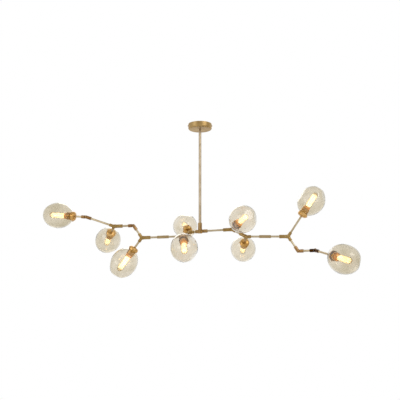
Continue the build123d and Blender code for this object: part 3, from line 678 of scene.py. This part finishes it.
def screwsOnPoints():
    g = Growth("collarScrews", {
        "Radius": "NodeSocketFloat", "Depth": "NodeSocketFloat", "Key": "NodeSocketFloat",
        "Key Depth": "NodeSocketFloat", "Material": "NodeSocketMaterial"})
    body = g.make("GeometryNodeMeshCylinder", None,
                  {"Vertices": collarScrew["sides"], "Radius": g.given("Radius"), "Depth": g.given("Depth")})
    twice = g.make("ShaderNodeMath", {"operation": "MULTIPLY"}, {0: g.given("Key Depth"), 1: 2.0})
    key = g.make("GeometryNodeMeshCylinder", None,
                 {"Vertices": 6, "Radius": g.given("Key"), "Depth": twice.outputs[0]})
    half = g.make("ShaderNodeMath", {"operation": "MULTIPLY"}, {0: g.given("Depth"), 1: 0.5})
    lift = g.make("ShaderNodeCombineXYZ", None, {"Z": half.outputs[0]})
    top = g.make("GeometryNodeTransform", None,
                 {"Geometry": key.outputs["Mesh"], "Translation": lift.outputs[0]})
    cut = g.make("GeometryNodeMeshBoolean", {"operation": "DIFFERENCE"},
                 {"Mesh 1": body.outputs["Mesh"], "Mesh 2": top.outputs[0]})
    facing = g.make("GeometryNodeInputNamedAttribute", {"data_type": "FLOAT_VECTOR"}, {"Name": "facing"})
    turn = g.make("FunctionNodeAlignRotationToVector", {"axis": "Z"}, {"Vector": facing.outputs["Attribute"]})
    seated = g.make("GeometryNodeInstanceOnPoints", None, {
        "Points": g.given("Geometry"), "Instance": cut.outputs["Mesh"], "Rotation": turn.outputs[0]})
    g.end(seated.outputs[0])
    return g


screws = screwsOnPoints()
screwSpots = {}
for yokeName, (body, ports) in collars.items():
    for runName, sign, radius, length in ports:
        way = ways[runName] * sign
        out = way.cross(Vector((0, 1, 0)))
        if out.length <= collarScrew["leastTurn"]:
            out = Vector((1, 0, 0)).cross(way)
        out.normalize()
        if out.z > 0:
            out = -out
        spot = places[yokeName] + way * (length - collarScrew["inFromEnd"])
        spot += out * (radius + collarScrew["proud"] - collarScrew["depth"] / 2)
        screwSpots.setdefault(body, []).append((spot * mm, out))
for body, spots in screwSpots.items():
    carrier = bpy.data.meshes.new(f"screwSpots_{body}")
    carrier.from_pydata([tuple(spot) for spot, out in spots], [], [])
    layer = carrier.attributes.new("facing", "FLOAT_VECTOR", "POINT")
    layer.data.foreach_set("vector", [value for spot, out in spots for value in out])
    made = screws.grow(carrier, f"collarScrews_{body}", {
        "Radius": collarScrew["radius"] * mm, "Depth": collarScrew["depth"] * mm,
        "Key": collarScrew["key"] * mm, "Key Depth": collarScrew["keyDepth"] * mm,
        "Material": brasses["screwBrass"]})
    show(made, f"collarScrews_{body}", body)


# finishes for the solids that stay in view
def finishFor(name):
    if name == "canopy":
        return brasses["canopyBrass"]
    if name in ("mounting_bar", "swivel_stud", "stud_locknut"):
        return brasses["rodBrass"] if name == "swivel_stud" else steelFinish
    if name == "terminal_block":
        return blockFinish
    if "lampholder" in name:
        return holderFinish
    if "fork" in name or "tongue" in name:
        # the right tip's fork and tongue take the near-black copy of the brass, painted shade
        tips = {"right_tip": "paintedShadeBrass", "left_tip": "tipBrass"}
        return brasses[tips.get(name.rsplit("_", 1)[0], "knuckleBrass")]
    if "screw" in name:
        return brasses["screwBrass"]
    if "tube" in name:
        return brasses["tubeBrass"]
    if "cup" in name:
        return brasses["cupBrass"]
    if name == "bar_couplings":
        return brasses["sleeveBrass"]
    return brasses[{"hub": "hubBrass", "drop_rod": "rodBrass"}.get(name, "yokeBrass")]


for name, solid in nodes.items():
    solid.data.materials.clear()
    solid.data.materials.append(finishFor(name))
print("solids finished:", len(nodes))


# studio, in metres: a pale round floor that fades out, soft lamps, a white surround and the camera
studio = {
    "floorHeight": -2.15, "floorRadius": 2.1, "floorSides": 96, "floorTone": (246, 245, 243),
    "floorRough": 0.9, "fadeStart": 0.45, "fadeEnd": 0.98,
    "surround": 0.72, "gloss": 0.94, "glossBehind": 0.06, "glossBelow": 0.10,
    "lampAim": (0, 0, -0.55), "lamps": {  # place, size and power
        "key": ((2.3, -2.4, 1.3), (1.5, 1.9), 26.0),
        "fill": ((-2.6, -2.2, 0.4), (1.6, 1.6), 12.0),
        "back": ((-0.6, 2.8, 1.2), (2.0, 2.0), 14.0),
    },
    "sensor": 36.0, "lens": 39.6, "cameraPlace": (0, -2.190, -0.6697), "cameraRise": 7.25,
}


def floorMaterial():
    material, f = newFinish("paleFloor")
    where = f.node("ShaderNodeTexCoord", None, None, "Object")
    away = f.node("ShaderNodeVectorMath", {"operation": "LENGTH"}, {0: where}, "Value")
    fade = f.node("ShaderNodeMapRange", {"interpolation_type": "SMOOTHSTEP"}, {
        "Value": away,
        "From Min": studio["floorRadius"] * studio["fadeStart"],
        "From Max": studio["floorRadius"] * studio["fadeEnd"],
    })
    paint = f.principled({"Base Color": tone(*studio["floorTone"]), "Roughness": studio["floorRough"]})
    clear = f.node("ShaderNodeBsdfTransparent")
    both = f.node("ShaderNodeMixShader", None, {0: fade, 1: paint, 2: clear})
    f.make("ShaderNodeOutputMaterial", None, {"Surface": both})
    return material


floorMesh = bpy.data.meshes.new("floor")
floorSides = studio["floorSides"]
floorTurns = [2 * math.pi * k / floorSides for k in range(floorSides)]
rim = [(studio["floorRadius"] * math.cos(a), studio["floorRadius"] * math.sin(a), 0) for a in floorTurns]
floorMesh.from_pydata(rim, [], [tuple(range(floorSides))])
floorMesh.materials.append(floorMaterial())
floor = bpy.data.objects.new("floor", floorMesh)
floor.location.z = studio["floorHeight"]
bpy.context.scene.collection.objects.link(floor)

for name, (spot, size, power) in studio["lamps"].items():
    lamp = bpy.data.lights.new(f"{name}Lamp", "AREA")
    lamp.shape, lamp.energy = "RECTANGLE", power
    lamp.size, lamp.size_y = size
    stand = bpy.data.objects.new(f"{name}Lamp", lamp)
    stand.location = spot
    aim = Vector(studio["lampAim"]) - Vector(spot)
    stand.rotation_euler = aim.to_track_quat("-Z", "Y").to_euler()
    bpy.context.scene.collection.objects.link(stand)

# the surround is white to the eye and through glass, dimmer as light, and a little
# brighter behind and below in the brass
world = bpy.data.worlds.new("surround")
world.use_nodes = True
bpy.context.scene.world = world
f = Finish(world.node_tree)
path = f.make("ShaderNodeLightPath")
direct = Sock(f.tree, path.outputs["Is Camera Ray"])
seen = direct.maths("MAXIMUM", Sock(f.tree, path.outputs["Is Transmission Ray"]))
glossy = Sock(f.tree, path.outputs["Is Glossy Ray"])
where = f.node("ShaderNodeTexCoord", None, None, "Generated")
axes = f.make("ShaderNodeSeparateXYZ", None, {"Vector": where})
behind, above = Sock(f.tree, axes.outputs["Y"]), Sock(f.tree, axes.outputs["Z"])
lift = behind * studio["glossBehind"] - above * studio["glossBelow"] + studio["gloss"]
other = (1 - glossy) * studio["surround"] + glossy * lift
strength = seen + (1 - seen) * other
back = f.node("ShaderNodeBackground", None, {"Color": (1, 1, 1, 1), "Strength": strength})
f.make("ShaderNodeOutputWorld", None, {"Surface": back})

eye = bpy.data.cameras.new("camera")
eye.sensor_width, eye.lens = studio["sensor"], studio["lens"]
camera = bpy.data.objects.new("camera", eye)
camera.location = studio["cameraPlace"]
camera.rotation_euler = (math.radians(90 + studio["cameraRise"]), 0, 0)
bpy.context.scene.collection.objects.link(camera)
bpy.context.scene.camera = camera
bpy.context.scene.view_settings.view_transform = "Standard"
print("studio set")

bpy.context.view_layer.update()
